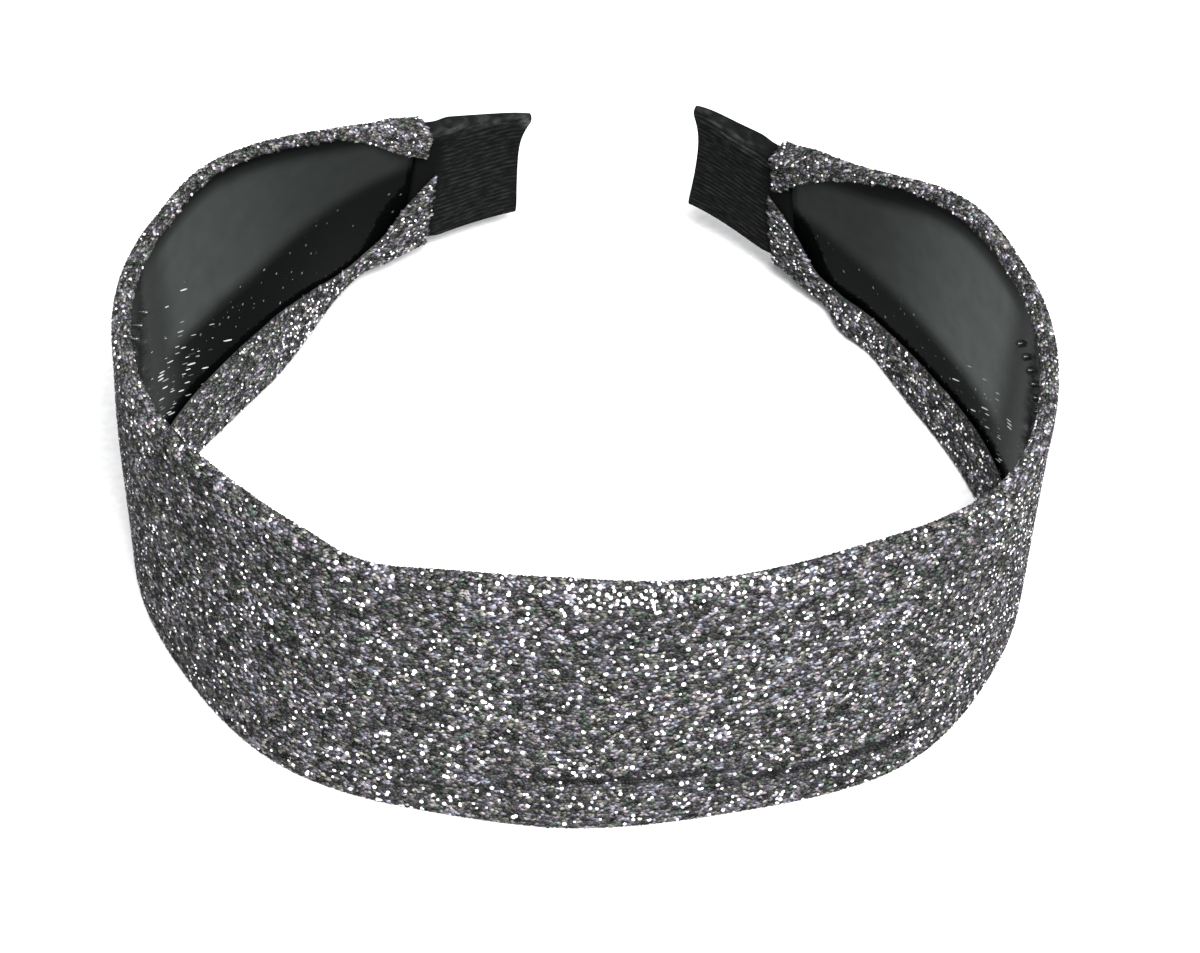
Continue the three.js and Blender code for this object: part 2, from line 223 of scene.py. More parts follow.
def tube_faces(rows, cols):
    """Faces of a tube of rings with both of its ends shut."""
    ends = end_faces(cols, 0)[:, ::-1], end_faces(cols, (rows - 1) * cols)
    return np.concatenate([grid_faces(rows, cols), *ends])


def new_piece(name, points, faces):
    """A smooth mesh object from points in metres and an array of faces that all have as many corners."""
    mesh = bpy.data.meshes.new(name)
    count, corners = faces.shape
    mesh.vertices.add(len(points))
    mesh.vertices.foreach_set("co", np.asarray(points, np.float32).ravel())
    mesh.loops.add(faces.size)
    mesh.loops.foreach_set("vertex_index", faces.astype(np.int32).ravel())
    mesh.polygons.add(count)
    mesh.polygons.foreach_set("loop_start", np.arange(0, faces.size, corners, dtype=np.int32))
    mesh.polygons.foreach_set("use_smooth", np.full(count, True))
    mesh.update(calc_edges=True)
    mesh.validate()
    piece = bpy.data.objects.new(name, mesh)
    bpy.context.collection.objects.link(piece)
    print(name, len(points), "points,", count * (corners - 2), "triangles")
    return piece


def note(piece, name, values):
    """Store a number, or three, with every point of a piece, for its finish to read."""
    values = np.asarray(values, np.float32)
    kind, slot = ("FLOAT", "value") if values.ndim == 1 else ("FLOAT_VECTOR", "vector")
    piece.data.attributes.new(name, kind, "POINT").data.foreach_set(slot, values.ravel())


def loft(name, rings):
    """A closed piece from rings of points, shaped (stations, points, 3), outward faces, both ends shut."""
    faces = tube_faces(*rings.shape[:2])
    points = rings.reshape(-1, 3)
    a, b, c = (points[faces[:, n]] for n in range(3))
    inside_out = (a * np.cross(b, c)).sum() < 0
    return new_piece(name, points, faces[:, ::-1] if inside_out else faces)


def spaced(start, end, step):
    """Evenly spaced values from start to end, about a step apart."""
    return np.linspace(start, end, int(np.ceil((end - start) / step)) + 1)


print("a tube of 3 rings with 8 points each has", len(tube_faces(3, 8)), "faces")

# %% [markdown]
# ## Colour and nodes
# Colours are written as the sRGB hex values that a picture shows, and turned to the linear numbers that a
# shader needs. A material is a handful of nodes that feed each other. They could be dragged together by
# hand. Here one small function adds a node with its settings and links, so each material reads as a list
# of steps.

# %% Material helpers
def linear(hex_colour):
    """sRGB hex to linear RGBA: each channel is divided by 12.92 near black, or raised to the power 2.4."""
    srgb = np.array([int(hex_colour[i:i + 2], 16) for i in (1, 3, 5)]) / 255
    rgb = np.where(srgb <= 0.04045, srgb / 12.92, ((srgb + 0.055) / 1.055) ** 2.4)
    return (*(float(c) for c in rgb), 1.0)


def new_material(name):
    """A material with an empty node tree."""
    material = bpy.data.materials.new(name)
    material.use_nodes = True
    material.node_tree.nodes.clear()
    print("material", name)
    return material


def add_node(material, kind, inputs=None, stops=(), **settings):
    """Add one node with its settings, and feed its inputs with values or with other nodes.

    A node given as it is feeds its first output. Stops are a ramp's (position, hex colour) pairs.
    """
    tree = material.node_tree
    made = tree.nodes.new(kind)
    for name, value in settings.items():
        setattr(made, name, value)
    for key, value in (inputs or {}).items():
        if isinstance(value, bpy.types.Node):
            value = value.outputs[0]
        if isinstance(value, bpy.types.NodeSocket):
            tree.links.new(value, made.inputs[key])
        else:
            made.inputs[key].default_value = value
    for _ in stops[2:]:
        made.color_ramp.elements.new(1.0)
    for k, (position, colour) in enumerate(stops):
        made.color_ramp.elements[k].position = position
        made.color_ramp.elements[k].color = linear(colour)
    return made


print("middle grey #808080 is", round(linear("#808080")[0], 3), "in linear light")

# %% [markdown]
# ## The knit cover
# The cover is one strip of metallic jersey. It is wrapped round the plastic, so its section runs from the
# lower hem on the inner face, under the strip, up the outer face, over the top and down to the upper hem.
# A cloth simulation would only pull it tight on the plastic, as it is, so the wrap is drawn directly: a
# stadium with round ends, and slack added where the cloth lifts. The creases near the lower edge and the
# pucker on the left side are bumps and grooves in that slack.

# %% Cover measures
CORE_THICK, CLOTH, RIBBON, GAP = 1.1, 0.6, 1.0, 0.15
ROLL = CORE_THICK / 2 + GAP + CLOTH
COVER_END, LAP_START, LAP_FULL = 171.0, 158.0, 164.0
HEMS = {
    "along": [0, 110, 134, 146, 152, 157, 161, 165, 171],
    "low_right": [8, 10, 8.8, 7.6, 6.8, 5.6, 6, 11.4, 17],
    "low_left": [8, 9.7, 10.2, 7, 4.8, 4.4, 6.4, 11.6, 17.8],
    "high_right": [1.6, 2.2, 2.5, 1.5, 2.3, 3.4, 4.4, 5.5, 9.2],
    "high_left": [1.6, 1.6, 1.5, 1.5, 1.6, 3.2, 4.6, 5.6, 7.2],
}
FOLDS = {
    "along": [26, 8, 42, -80, -80, 0],
    "height": [8, 10.2, 7.4, 27, 27, 43],
    "length": [44, 13, 17, 20, 4, 60],
    "breadth": [7, 0.9, 1.3, 14, 9, 4],
    "rise": [0.5, -1.0, -1.0, 0.7, -0.7, 0.4],
}
PUFFS = {
    "along": [-142, -116, 110, 140, 154],
    "reach": [12, 14, 20, 12, 5],
    "puff": [1.2, 1.9, 1.0, 0.8, 1.8],
}
HEM_END_PUFF, SHORTEST_HEM = 0.2, 1e-3
END_SLANT = {"left": 2.2, "right": 1.2}
print("the cloth turns round each edge on a radius of", round(ROLL, 2), "mm")

# %% [markdown]
# ## Round the section of the cover
# A place on the cloth is told as a tape laid on it would tell it: how far along the band, and how far round
# the section from its lowest line. Each part of the section could be a surface of its own, with seams to
# close. One function for the whole way round has none, and the stitches can use it too.

# %% Cover section
def lap(along):
    """How far the cover stands off for the ribbon under it: 0 clear of the sleeve, 1 where they lap."""
    return step_up(np.abs(along), LAP_START, LAP_FULL)


def slack(along, up):
    """Millimetres that the outer face stands off the strip: the sum of its folds, never under zero."""
    folds = [r * bell(along - a, n) * bell(up - h, b) for a, h, n, b, r in zip(*FOLDS.values())]
    return np.maximum(sum(folds), 0)


def section_ends(along):
    """Where the section starts and stops, in mm round it from its lowest line: the two hem edges."""
    quarter = np.pi / 2 * ROLL
    start = -quarter - (sided(HEMS, "low", along) - ROLL)
    stop = top_at(along) - 2 * ROLL + 3 * quarter + (sided(HEMS, "high", along) - ROLL)
    return start, stop


def slanted(along, run):
    """The cut ends of the cover lean back: near a tip a point higher up its section lies nearer the front."""
    high = np.clip(run / (top_at(along) - 2 * ROLL), 0, 1)
    slant = by_side(along, END_SLANT["left"], END_SLANT["right"])
    return along - np.sign(along) * slant * high * step_up(np.abs(along), LAP_START, COVER_END)


def cover_point(along, run, lift):
    """Point of the cover: run mm round its section from the lowest line, lift mm out of its face.

    A stadium: the lower hem, a half circle under the strip, the outer face, a half circle over the top, the
    upper hem. Slack is added where the section looks outwards, and puff where the lower hem looks inwards.
    """
    quarter = np.pi / 2 * ROLL
    top = top_at(along)
    face = top - 2 * ROLL
    half = ROLL + lap(along) * (RIBBON + GAP)
    low_turn = np.clip(run / ROLL, -np.pi / 2, np.pi / 2)
    high_turn = np.clip((run - quarter - face) / ROLL, 0, np.pi)
    over_top = run > quarter + face
    facing = np.where(over_top, np.cos(high_turn), np.sin(low_turn))
    hem_low = np.maximum(-quarter - run, 0)
    hem_high = np.maximum(run - 3 * quarter - face, 0)
    low_up = ROLL - np.cos(low_turn) * (ROLL + lift) + hem_low + np.clip(run - quarter, 0, face)
    high_up = top - ROLL + np.sin(high_turn) * (ROLL + lift) - hem_high
    up = np.where(over_top, high_up, low_up)
    puff = sum(p * bell(along - a, r) for a, r, p in zip(*PUFFS.values()))
    near_edge = np.clip(hem_low / np.maximum(sided(HEMS, "low", along) - ROLL, SHORTEST_HEM), 0, 1)
    puff = puff * (1 - (1 - HEM_END_PUFF) * np.clip(2 * near_edge - 1, 0, 1)) * ~over_top
    out = facing * (half + lift) + slack(along, up) * np.maximum(facing, 0) ** 2
    out = out - puff * np.maximum(-facing, 0)
    point = place(along, out, up)
    point[..., 2] = np.maximum(point[..., 2], np.maximum(-lift - REST_SINK, 0) * MM)
    return point


front_start, front_stop = section_ends(np.zeros(1))
front_path = float(front_stop[0] - front_start[0])
print("way round the front section, on the face that shows:", round(front_path, 1), "mm")

# %% [markdown]
# ## The cloth ground
# Under the stitches lies the cloth itself, a thin wall that turns round at both hems. A single face
# thickened by a modifier would give sharp hem edges. Here each section is a closed ring: out along the face
# that shows, round the hem edge and back along the strip, so the edges are rounded as folded jersey is.

# %% Cloth ground
COVER_STEP, CLOTH_ROWS = 1.2, 80
END_ROUND, END_STATIONS, FIRST_STATION = 0.5, 4, 0.3
FACE_LIFT, BACK_LIFT = -0.18, -CLOTH
THINNEST_END, THINNEST_HEM = 0.05, 0.04


def cover_rings():
    """Rings of the cloth, one for each station along the band.

    The wall is thinned as a circle thins, the square root of 1 less x squared, at the hems and the cut ends.
    """
    stations = spaced(-COVER_END + END_ROUND, COVER_END - END_ROUND, COVER_STEP)
    turn = np.linspace(FIRST_STATION, 1, END_STATIONS) * np.pi / 2
    tips = COVER_END - END_ROUND * (1 - np.sin(turn))
    along = np.concatenate([-tips[::-1], stations, tips])[:, None]
    past = np.clip((np.abs(along) - COVER_END + END_ROUND) / END_ROUND, 0, 1)
    thin = np.sqrt(np.clip(1 - past**2, THINNEST_END, 1))
    start, stop = section_ends(along)
    t = np.linspace(0, 1, CLOTH_ROWS)[None]
    run = start + (stop - start) * t
    edge = np.minimum(run - start, stop - run)
    middle, half = (FACE_LIFT + BACK_LIFT) / 2, (FACE_LIFT - BACK_LIFT) / 2
    round_edge = np.sqrt(np.clip(1 - (1 - np.clip(edge / half, 0, 1)) ** 2, THINNEST_HEM, 1))
    along = slanted(along, run)
    face = cover_point(along, run, middle + half * thin * round_edge)
    back = cover_point(along, run, middle - half * thin * round_edge)
    return np.concatenate([face, back[:, ::-1]], 1)


cover = loft("knit_ground", cover_rings())

# %% [markdown]
# ## The rows of stitches
# Jersey shows its stitches as small beads in rows along the band. In this cloth a slit film of silver is
# knitted with the charcoal yarn. Most of it lies turned away, and where a loop of it faces the eye it shows
# as a round white glint. A bump in the material could fake that from one side only. Here each stitch is a
# small bead of its own, laid in rows on the ground, and about one in fourteen is a rounder bead of bright
# film. First come the places of all the stitches, and which of them are bright.

# %% Stitch rows
STITCH_PITCH, ROW_PITCH = 0.56, 0.5
STRAY_ALONG, STRAY_ROUND = 0.13, 0.09
END_MARGIN, HEM_MARGIN = 0.3, 0.1
# Painted light: glints grow more common to the right, where more light falls; SPARKLES adds painted glints
# where the top roll faces the lamp and in two patches on the hems
GLINT_SHARE = {"along": [-171, -60, 0, 60, 171], "share": [0.055, 0.05, 0.055, 0.09, 0.085]}
LOW_HEM_SHARE, HIGH_HEM_SHARE = 1.3, 0.6
SPARKLES = {
    "along": [12, -143, 149],
    "run": [48.4, -5, -4],
    "length": [14, 7, 9],
    "breadth": [1.3, 2.5, 2.5],
    "share": [0.36, 0.22, 0.14],
}
CREASE_BROADEST, CREASE_HEART, CREASE_GAIN = 2.0, 0.7, 1.6
CREASE_SHADE_LOSES = 0.8
rng = np.random.default_rng(7)


def crease_shade(along, up):
    """How deep in a narrow crease a place lies, 0 to 1, for the painted shade there: bumps in the folds that
    go inwards.
    """
    folds = zip(*FOLDS.values())
    narrow = [(a, h, n, b) for a, h, n, b, rise in folds if rise < 0 and b < CREASE_BROADEST]
    depth = sum(bell(along - a, n) * bell(up - h, CREASE_HEART * b) for a, h, n, b in narrow)
    return np.minimum(CREASE_GAIN * depth, 1)


def stitch_places():
    """Where each stitch lies, as (along, run): rows a pitch apart, every other row half a stitch on."""
    along = spaced(-COVER_END + END_MARGIN, COVER_END - END_MARGIN, STITCH_PITCH)
    lowest = section_ends(np.array([-COVER_END, COVER_END]))[0].min()
    highest = section_ends(np.zeros(1))[1].max()
    rows = np.arange(np.floor(lowest / ROW_PITCH), np.ceil(highest / ROW_PITCH) + 1)
    a, r = np.meshgrid(along, rows, indexing="ij")
    a = a + (r % 2) * STITCH_PITCH / 2 + rng.normal(0, STRAY_ALONG, a.shape)
    run = r * ROW_PITCH + rng.normal(0, STRAY_ROUND, a.shape)
    start, stop = section_ends(a)
    on_cloth = (run > start + HEM_MARGIN) & (run < stop - HEM_MARGIN) & (np.abs(a) < COVER_END)
    return slanted(a, run)[on_cloth], run[on_cloth]


def glint_share(along, run, on_hem):
    """Share of stitches painted as glints: more, as painted light, to the right and where they catch the
    lamp; few in creases, as painted shade.
    """
    share = np.interp(along, GLINT_SHARE["along"], GLINT_SHARE["share"])
    share = share * np.where(on_hem, np.where(run < 0, LOW_HEM_SHARE, HIGH_HEM_SHARE), 1.0)
    spots = zip(*SPARKLES.values())
    extra = sum(s * bell(along - a, n) * bell(run - r, b) for a, r, n, b, s in spots)
    return (share + extra) * (1 - CREASE_SHADE_LOSES * crease_shade(along, run - ROLL))


stitch_along, stitch_run = stitch_places()
stitch_stop = section_ends(stitch_along)[1]
on_hem = (stitch_run < 0) | (stitch_run > stitch_stop - sided(HEMS, "high", stitch_along))
is_glint = rng.random(len(stitch_along)) < glint_share(stitch_along, stitch_run, on_hem)
print(len(stitch_along), "stitches,", is_glint.sum(), "of them bright")

# %% [markdown]
# ## The shape of a bead
# A loop of yarn stands up from the cloth as a small hump. A ball for each would cost far too many faces. So
# a dull stitch is a four-sided point on a square foot, and a bright one a six-sided dome, as more of it is
# seen. Both are drawn 1 wide, and get their size later.

# %% Bead shapes
STITCH_POINTS = np.array([[-1, -1, -1], [1, -1, -1], [1, 1, -1], [-1, 1, -1], [0, 0, 1]]) / 2
STITCH_FACES = np.array([[0, 2, 1], [0, 3, 2], [0, 1, 4], [1, 2, 4], [2, 3, 4], [3, 0, 4]])
DOME_FOOT, DOME_SHOULDER, DOME_TOP, SHOULDER_WIDE = -0.25, 0.1, 0.22, 0.8
SIXTHS = np.arange(6)
NEXT = (SIXTHS + 1) % 6
HEXAGON = np.column_stack([np.cos(SIXTHS * np.pi / 3), np.sin(SIXTHS * np.pi / 3), np.zeros(6)]) / 2
DOME_POINTS = np.concatenate([
    HEXAGON + [0, 0, DOME_FOOT],
    HEXAGON * SHOULDER_WIDE + [0, 0, DOME_SHOULDER],
    [[0, 0, DOME_TOP]],
])
DOME_FACES = np.concatenate([
    np.column_stack([SIXTHS, NEXT, NEXT + 6]),
    np.column_stack([SIXTHS, NEXT + 6, SIXTHS + 6]),
    np.column_stack([SIXTHS + 6, NEXT + 6, np.full(6, 12)]),
    [[0, k + 1, k] for k in range(1, 5)],
])
print("faces of a dull bead:", len(STITCH_FACES), "and of a bright one:", len(DOME_FACES))

# %% [markdown]
# ## How a bead lies
# On the real cloth each loop lies along its row, square to the surface, give or take a little. Objects could
# be snapped to the cover one by one. Small steps along the band and round the section give the same three
# directions for all beads at once, and each then gets a random turn.

# %% Bead directions
FRAME_REACH = 0.2
TILT_DEGREES, YAW_DEGREES = 10.0, 20.0


def surface_frame(along, run, lift):
    """Point and three unit directions of the cover: along the band, round its section, and out of it."""
    point = cover_point(along, run, lift)
    ahead = cover_point(along + FRAME_REACH, run, lift) - cover_point(along - FRAME_REACH, run, lift)
    round_it = cover_point(along, run + FRAME_REACH, lift) - cover_point(along, run - FRAME_REACH, lift)
    ahead /= np.linalg.norm(ahead, axis=-1, keepdims=True)
    normal = np.cross(ahead, round_it)
    normal /= np.linalg.norm(normal, axis=-1, keepdims=True)
    return point, np.stack([ahead, np.cross(normal, ahead), normal], -2)


def turned(count):
    """A random turn for each bead: a yaw about its normal and a small tilt both ways, as 3 by 3 arrays."""
    yaw = np.radians(rng.normal(0, YAW_DEGREES, count))
    tip, roll = np.radians(rng.normal(0, TILT_DEGREES, (2, count)))
    nil, one = np.zeros(count), np.ones(count)
    about_z = [[np.cos(yaw), -np.sin(yaw), nil], [np.sin(yaw), np.cos(yaw), nil], [nil, nil, one]]
    about_y = [[np.cos(tip), nil, np.sin(tip)], [nil, one, nil], [-np.sin(tip), nil, np.cos(tip)]]
    about_x = [[one, nil, nil], [nil, np.cos(roll), -np.sin(roll)], [nil, np.sin(roll), np.cos(roll)]]
    return np.einsum("ijn,jkn,kln->nil", np.array(about_z), np.array(about_y), np.array(about_x))


print("the middle of the front faces", surface_frame(np.zeros(1), front_stop / 2, 0.0)[1][0, 2].round(2))

# %% [markdown]
# ## The charcoal stitches
# These are the loops of dark yarn, all over the cover. Each could be an instance of one small object, but a
# mesh of them all travels with the part. They are sunk a little into the ground, so that they grow out of
# the cloth, and kept in five meshes, so that none grows too heavy.

# %% Knit stitches
STITCH_SIZE, STITCH_LIFT = np.array([1.1, 0.5, 0.34]), -0.1
STITCH_LEAST, STITCH_MOST = 0.75, 1.3
CREASE_SHADE_DARKENS = 0.85
CELL_CORNERS = np.array([[0.2, 0.2], [0.8, 0.2], [0.5, 0.8]])
QUARTERS = {"far_left": (-180, -60), "left": (-60, 0), "right": (0, 60), "far_right": (60, 180)}


def beads(name, shape, faces, along, run, lift, size):
    """One mesh of many beads: a small shape, sized, turned a little and laid on the cloth at each place.

    Three random numbers go with each bead for its finish, and its faces share one cell of the flat map. A
    bead in a crease has its first number lowered, so that the crease is painted dark: painted shade.
    """
    count, corners = len(along), len(shape)
    point, axes = surface_frame(along, run, lift)
    local = np.einsum("nij,nkj->nki", turned(count), shape[None] * size[:, None] * MM)
    points = point[:, None] + np.einsum("nkj,nji->nki", local, axes)
    points[..., 2] = np.maximum(points[..., 2], 0)
    all_faces = faces[None] + corners * np.arange(count)[:, None, None]
    piece = new_piece(name, points.reshape(-1, 3), all_faces.reshape(-1, 3))
    film = rng.random((count, 3))
    # Painted shade: a bead in a crease gets a darker tone
    film[:, 0] *= 1 - CREASE_SHADE_DARKENS * crease_shade(along, run - ROLL)
    note(piece, "film", np.repeat(film, corners, axis=0))
    grid = int(np.ceil(np.sqrt(count)))
    cell = np.stack([np.arange(count) % grid, np.arange(count) // grid], -1)[:, None, None]
    flat_map = np.broadcast_to((cell + CELL_CORNERS) / grid, (count, len(faces), 3, 2))
    uv_layer = piece.data.uv_layers.new(name="OFBake")
    uv_layer.data.foreach_set("uv", flat_map.astype(np.float32).ravel())
    return piece


def dull_stitches(name, here):
    """The charcoal stitches of one part of the cover, each a little longer, wider or higher than the next."""
    along, run = stitch_along[here & ~is_glint], stitch_run[here & ~is_glint]
    size = STITCH_SIZE * rng.uniform(STITCH_LEAST, STITCH_MOST, (len(along), 3))
    return beads("knit_stitches_" + name, STITCH_POINTS, STITCH_FACES, along, run, STITCH_LIFT, size)


stitch_pieces = [dull_stitches("hems", on_hem)]
for name, (first, last) in QUARTERS.items():
    here = ~on_hem & (stitch_along >= first) & (stitch_along < last)
    stitch_pieces.append(dull_stitches(name, here))

# %% [markdown]
# ## The bright film
# Here and there a loop of film lies open to the eye, rounder than the yarn and of many sizes. Bright spots in
# the material would look flat from the side. Domes of their own stand as high as the stitches, and are
# smaller on the sides of the band than at its front.

# %% Film glints
GLINT_LIFT = -0.06
GLINT_SMALL, GLINT_LARGE, GLINT_ON_SIDES = 0.42, 0.84, 0.72
GLINT_SPREAD = 1.4, 1.6
SIDES_FROM, SIDES_PAST = 25, 60

glint_along, glint_run = stitch_along[is_glint], stitch_run[is_glint]
glint_size = GLINT_SMALL + (GLINT_LARGE - GLINT_SMALL) * rng.beta(*GLINT_SPREAD, len(glint_along))
glint_size *= 1 - (1 - GLINT_ON_SIDES) * step_up(np.abs(glint_along), SIDES_FROM, SIDES_PAST)
glints = beads("film_glints", DOME_POINTS, DOME_FACES, glint_along, glint_run, GLINT_LIFT,
               np.repeat(glint_size[:, None], 3, axis=1))

# %% [markdown]
# ## The plastic strip
# The strip is injection moulded: an even wall with slightly rounded edges, thinner inside the ribbon sleeves.
# A box with a bevel could be bent to it. It shows only between the hems, so one smooth section with round
# corners, carried along the band, is simpler and follows every lean.

# %% Plastic strip
CORE_END, CORE_TIP_HALF, TAPER_START = 181.0, 0.45, 172.0
CORE_STEP, CORE_ROWS = 1.2, 32
EDGE_RADIUS, CORNER_POINTS = 0.35, 5


def core_section():
    """The strip's section at each station: straight faces and quarter circles, thinner in the sleeves."""
    along = spaced(-CORE_END, CORE_END, CORE_STEP)[:, None]
    taper = step_up(np.abs(along), TAPER_START, CORE_END)
    half = CORE_THICK / 2 + (CORE_TIP_HALF - CORE_THICK / 2) * taper
    inset = CLOTH + GAP + lap(along) * (RIBBON + GAP)
    low, high = inset, top_at(along) - inset
    corner = np.linspace(0, np.pi / 2, CORNER_POINTS)[None]
    rows = np.linspace(0, 1, CORE_ROWS)[None]
    r = EDGE_RADIUS
    face_up = low + r + (high - low - 2 * r) * rows
    over_out, over_up = half - r + r * np.cos(corner), high - r + r * np.sin(corner)
    under_up = low + r - r * np.sin(corner[:, ::-1])
    out = np.concatenate([over_out[:, ::-1], half + 0 * face_up[:, 1:-1], over_out], 1)
    up = np.concatenate([under_up, face_up[:, 1:-1], over_up], 1)
    out, up = np.concatenate([out, -out[:, ::-1]], 1), np.concatenate([up, up[:, ::-1]], 1)
    return np.broadcast_to(along, up.shape), out, up


strip_along, strip_out, strip_up = core_section()
strip = loft("plastic_strip", place(strip_along, strip_out, strip_up))

# %% [markdown]
# ## Painted reflections on the plastic
# The strip carries three painted reflections: a grey-green patch of reflected floor behind the bends, kept
# clear of both hems so that it stays dark beside them, pale streaks of reflected glitter round the bends, and
# specks of reflected glitter above the lower hem. Masks could be painted by hand. Bumps and steps in the
# band's own measures say the same in a few sizes, and each point keeps its three amounts.

# %% Painted plastic reflections
FLOOR_REFLECTION = {
    "left": {"low": 20.0, "drop": 3.5, "strength": 0.42, "fade": 0.6},
    "right": {"low": 15.4, "drop": 5.0, "strength": 0.95, "fade": 0.8},
}
FLOOR_REFLECTION_FROM, FLOOR_REFLECTION_FADED, FLOOR_REFLECTION_FRONT_EDGE = 111.0, 155.0, 4.0
FLOOR_REFLECTION_LOW_EDGE, FLOOR_REFLECTION_TOP_EDGE = (-1.5, 2.5), (-1.0, 2.0)
FRONT_REFLECTION, FRONT_LOW_EDGE, FRONT_TOP_EDGE = 0.16, (9, 14), (2, 6)
SPECK_REFLECTION_AT, SPECK_REFLECTION_LENGTH, SPECK_REFLECTION_DROP, SPECK_REFLECTION_BREADTH = 130, 24, 3.5, 4.0
STREAK_REFLECTION_SIDES = {"left": 1.0, "right": 0.35}
STREAK_REFLECTION_AT, STREAK_REFLECTION_LENGTH, STREAK_REFLECTION_UP, STREAK_REFLECTION_BREADTH = 110, 9, 14.5, 8


def floor_reflection_at(along, up):
    """How much painted floor reflection a place has, 0 to 1: steps up clear of both hems and behind the bend.

    It fades towards the tips, and in front of the bends there is only a breath of it.
    """
    low, drop, strength, fade = (by_side(along, FLOOR_REFLECTION["left"][k], FLOOR_REFLECTION["right"][k]) for k in FLOOR_REFLECTION["left"])
    over_low = step_up(up, low + FLOOR_REFLECTION_LOW_EDGE[0], low + FLOOR_REFLECTION_LOW_EDGE[1])
    high = top_at(along) - drop
    under_top = step_up(-up, -high + FLOOR_REFLECTION_TOP_EDGE[0], -high + FLOOR_REFLECTION_TOP_EDGE[1])
    back = step_up(np.abs(along), FLOOR_REFLECTION_FROM - FLOOR_REFLECTION_FRONT_EDGE, FLOOR_REFLECTION_FROM + FLOOR_REFLECTION_FRONT_EDGE)
    fading = 1 - fade * step_up(np.abs(along), FLOOR_REFLECTION_FROM, FLOOR_REFLECTION_FADED)
    patch = strength * (over_low * under_top) * fading
    front = FRONT_REFLECTION * step_up(up, *FRONT_LOW_EDGE) * step_up(top_at(along) - up, *FRONT_TOP_EDGE)
    return back * patch + (1 - back) * front


def speck_reflection_at(along, up):
    """Where the lower hem's glitter is painted as reflected specks, 0 to 1: a bump above the lower hem, below
    the painted floor reflection.
    """
    low = by_side(along, FLOOR_REFLECTION["left"]["low"], FLOOR_REFLECTION["right"]["low"])
    return bell(up - low + SPECK_REFLECTION_DROP, SPECK_REFLECTION_BREADTH) * bell(np.abs(along) - SPECK_REFLECTION_AT, SPECK_REFLECTION_LENGTH)


def streak_reflection_at(along, up):
    """Where pale streaks of reflected glitter are painted, 0 to 1: a bump round each bend, higher on the
    left.
    """
    spot = bell(np.abs(along) - STREAK_REFLECTION_AT, STREAK_REFLECTION_LENGTH)
    return by_side(along, *STREAK_REFLECTION_SIDES.values()) * spot * bell(up - STREAK_REFLECTION_UP, STREAK_REFLECTION_BREADTH)


note(strip, "band", np.stack([strip_along, strip_up, 0 * strip_up], -1).reshape(-1, 3))
for name, painted_at in {"floor_reflection": floor_reflection_at, "speck_reflection": speck_reflection_at, "streak_reflection": streak_reflection_at}.items():
    amount = painted_at(strip_along, strip_up)
    note(strip, name, amount.ravel())
    print(name, "up to", amount.max().round(2))

# %% [markdown]
# ## The grip teeth
# On the real strip a row of blunt pegs, moulded with it, holds the hair. Spheres would look too round, so
# each is a ring drawn in by a low power of the cosine, which keeps its sides steep and its crown flat.

# %% Grip teeth
TOOTH_PITCH, TOOTH_LONG, TOOTH_WIDE, TOOTH_RISE, TOOTH_DROP = 3.1, 1.2, 1.2, 0.8, 10.0
TEETH_FROM, TEETH_TO = -103.2, 107.6
PEG_RINGS, PEG_SIDES, PEG_BLUNT = 7, 12, 0.45
PEG_ROOT, PEG_CROWN = -0.15, 0.49 * np.pi


def teeth_mesh():
    """Blunt pegs: out by the sine of an angle, across by a low power of its cosine, one at each place."""
    turn = np.linspace(0, 2 * np.pi, PEG_SIDES, endpoint=False)
    tilt = np.linspace(PEG_ROOT, PEG_CROWN, PEG_RINGS)
    tilt, turn = np.meshgrid(tilt, turn, indexing="ij")
    across = np.cos(tilt) ** PEG_BLUNT / 2
    along = spaced(TEETH_FROM, TEETH_TO, TOOTH_PITCH)[:, None, None]
    up = width_at(along) - TOOTH_DROP + across * np.sin(turn) * TOOTH_LONG
    out = -CORE_THICK / 2 - np.sin(tilt) * TOOTH_RISE
    points = place(along + across * np.cos(turn) * TOOTH_WIDE, out, up)
    shift = PEG_RINGS * PEG_SIDES * np.arange(len(along))
    faces = (tube_faces(PEG_RINGS, PEG_SIDES)[None] + shift[:, None, None]).reshape(-1, 4)
    return new_piece("grip_teeth", points.reshape(-1, 3), faces[:, ::-1])


teeth = teeth_mesh()

# %% [markdown]
# ## The ribbon sleeves
# A length of grosgrain is folded round each tip and glued, and its end is pressed flat, cut aslant with the
# top corner drawn out. A folded plane would need its thickness added. A closed ring, carried from the pocket
# round the mouth to the end, has it already. The ribs of the weave run along the band as low ridges.

# %% Ribbon measures
TIP, RIBBON_MOUTH, POCKET_END = 186.0, 167.0, 181.6
FLARE_START, FLARE_FULL = 174.0, 185.0
RIBBON_END_HALF, POCKET_TIP_HALF = 0.95, 0.6
RIB_PITCH, RIB_DEPTH = 1.1, 0.025
RIB_WANDER, WANDER_ALONG, WANDER_UP = 0.35, 1.9, 0.6
FISHTAILS = {
    "left": {"back": 0.0, "slant": 1.8, "point": 2.3, "top_flare": 1.2, "low_flare": 0.4},
    "right": {"back": 2.0, "slant": 3.6, "point": 1.5, "top_flare": 2.3, "low_flare": -0.1},
}
SLANT_POWER, POINT_POWER, FLARE_POWER = 1.5, 4, 1.5
CORNER_ROUND, CORNER_POWER = 0.4, 12
CREASES = {
    "left": {"drop": [1.0], "rise": [0.15]},
    "right": {"drop": [1.0, 2.6], "rise": [0.25, 0.2]},
}
CREASE_BREADTH = 0.5
